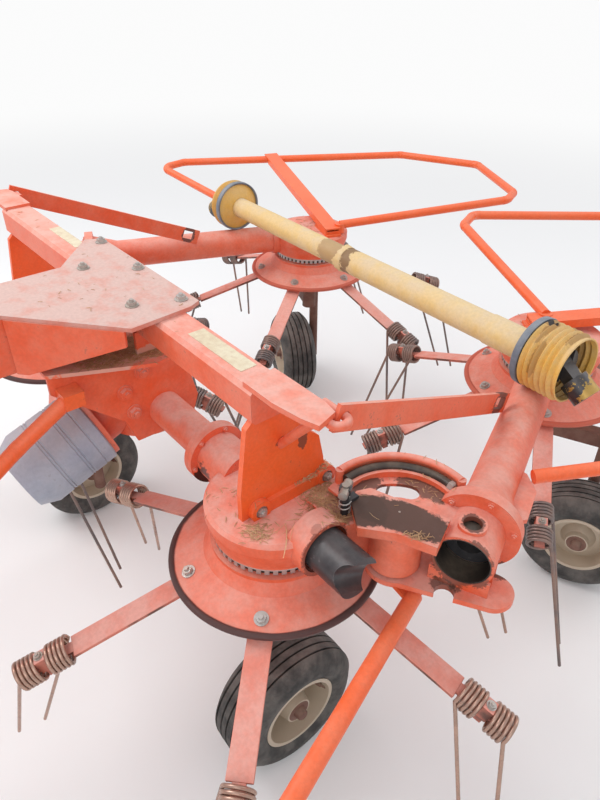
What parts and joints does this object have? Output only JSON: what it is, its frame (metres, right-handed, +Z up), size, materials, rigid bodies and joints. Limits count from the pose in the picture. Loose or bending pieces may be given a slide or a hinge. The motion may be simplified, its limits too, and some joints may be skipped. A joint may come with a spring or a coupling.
{
  "type": "hay tedder",
  "caption": "Trailed hay tedder with tined rotors under a cross beam and drawbar, outer arms swung back for the road, guard hoops, small wheels and a loose drive shaft.",
  "frame": {"origin": "middle of the bounding box, on the floor", "axes": "+X to the machine's left, +Y rearward, +Z up; the hitch eye points along -Y"},
  "size_m": [3.09, 4.1321, 1.3011],
  "materials": {
    "frame_paint": "faded orange-red paint under dust",
    "faded_paint": "faded paint with pale dust",
    "rusty_steel": "brown rusty paint",
    "bare_steel": "dull worn steel",
    "dark_steel": "dark greasy casting",
    "tine_steel": "dark spring steel with brown rust",
    "tyre_rubber": "dusty ribbed rubber",
    "rim_paint": "dirty cream paint",
    "guard_plastic": "grey moulded plastic",
    "shaft_plastic": "dusty yellow moulded plastic"
  },
  "bodies": {
    "frame": {"drawbar": "frame_paint", "hitch_eye": "frame_paint", "jack_sleeve": "frame_paint", "top_plate": "faded_paint", "centre_plates": "frame_paint", "centre_gearbox": "frame_paint", "input_shaft": "bare_steel", "input_guard": "guard_plastic", "cross_beam": "faded_paint", "uprights": "frame_paint", "lock_bars": "faded_paint", "frame_tubes": "frame_paint", "inner_gearboxes": "frame_paint", "drive_dogs": "dark_steel", "latch_pins": "bare_steel", "inner_legs": "rusty_steel", "front_guards": "frame_paint"},
    "jack": {"jack_leg": "bare_steel"},
    "arm_left": {"arm_left": "faded_paint", "arm_gearbox_left": "frame_paint", "arm_leg_left": "rusty_steel", "hoop_left": "frame_paint", "arm_socket_left": "dark_steel"},
    "arm_right": {"arm_right": "faded_paint", "arm_gearbox_right": "frame_paint", "arm_leg_right": "rusty_steel", "hoop_right": "frame_paint", "arm_socket_right": "dark_steel"},
    "rotor_inner_left": {"rotor_inner_left": "frame_paint", "tines_inner_left": "tine_steel"},
    "rotor_inner_right": {"rotor_inner_right": "frame_paint", "tines_inner_right": "tine_steel"},
    "rotor_outer_left": {"rotor_outer_left": "frame_paint", "tines_outer_left": "tine_steel"},
    "rotor_outer_right": {"rotor_outer_right": "frame_paint", "tines_outer_right": "tine_steel"},
    "wheel_inner_left": {"tyre_inner_left": "tyre_rubber", "wheel_inner_left": "rim_paint"},
    "wheel_inner_right": {"tyre_inner_right": "tyre_rubber", "wheel_inner_right": "rim_paint"},
    "wheel_outer_left": {"tyre_outer_left": "tyre_rubber", "wheel_outer_left": "rim_paint"},
    "wheel_outer_right": {"tyre_outer_right": "tyre_rubber", "wheel_outer_right": "rim_paint"},
    "drive_shaft": {"shaft_tubes": "shaft_plastic", "shaft_bells": "shaft_plastic", "shaft_yokes": "dark_steel"}
  },
  "joints": [
    {"name": "jack_slide", "type": "slide", "parent": "frame", "child": "jack", "axis": [0, 0, 1], "range_m": [0, 0.3]},
    {"name": "arm_left_fold", "type": "hinge", "parent": "frame", "child": "arm_left", "pos_m": [0.864, 0.02594, 0.925], "axis": [0, 0, -1], "range_deg": [0, 113.4]},
    {"name": "arm_right_fold", "type": "hinge", "parent": "frame", "child": "arm_right", "pos_m": [-0.864, 0.02594, 0.925], "axis": [0, 0, 1], "range_deg": [0, 113.4]},
    {"name": "rotor_inner_left_spin", "type": "hinge", "parent": "frame", "child": "rotor_inner_left", "pos_m": [0.625, -0.12106, 0.776], "axis": [0, 0, 1], "continuous": true},
    {"name": "rotor_inner_right_spin", "type": "hinge", "parent": "frame", "child": "rotor_inner_right", "pos_m": [-0.625, -0.12106, 0.776], "axis": [0, 0, 1], "continuous": true},
    {"name": "rotor_outer_left_spin", "type": "hinge", "parent": "arm_left", "child": "rotor_outer_left", "pos_m": [0.59739, 1.01217, 0.776], "axis": [0, 0, 1], "continuous": true},
    {"name": "rotor_outer_right_spin", "type": "hinge", "parent": "arm_right", "child": "rotor_outer_right", "pos_m": [-0.59739, 1.01217, 0.776], "axis": [0, 0, 1], "continuous": true},
    {"name": "wheel_inner_left_spin", "type": "hinge", "parent": "frame", "child": "wheel_inner_left", "pos_m": [0.65, -0.12106, 0.203], "axis": [1, 0, 0], "continuous": true},
    {"name": "wheel_inner_right_spin", "type": "hinge", "parent": "frame", "child": "wheel_inner_right", "pos_m": [-0.65, -0.12106, 0.203], "axis": [1, 0, 0], "continuous": true},
    {"name": "wheel_outer_left_spin", "type": "hinge", "parent": "arm_left", "child": "wheel_outer_left", "pos_m": [0.8308, 1.10228, 0.203], "axis": [-0.3971, 0.9178, 0], "continuous": true},
    {"name": "wheel_outer_right_spin", "type": "hinge", "parent": "arm_right", "child": "wheel_outer_right", "pos_m": [-0.8308, 1.10228, 0.203], "axis": [-0.3971, -0.9178, 0], "continuous": true},
    {"name": "drive_shaft_lift", "type": "slide", "parent": "frame", "child": "drive_shaft", "axis": [0, 0, 1], "range_m": [0, 0.3]}
  ]
}
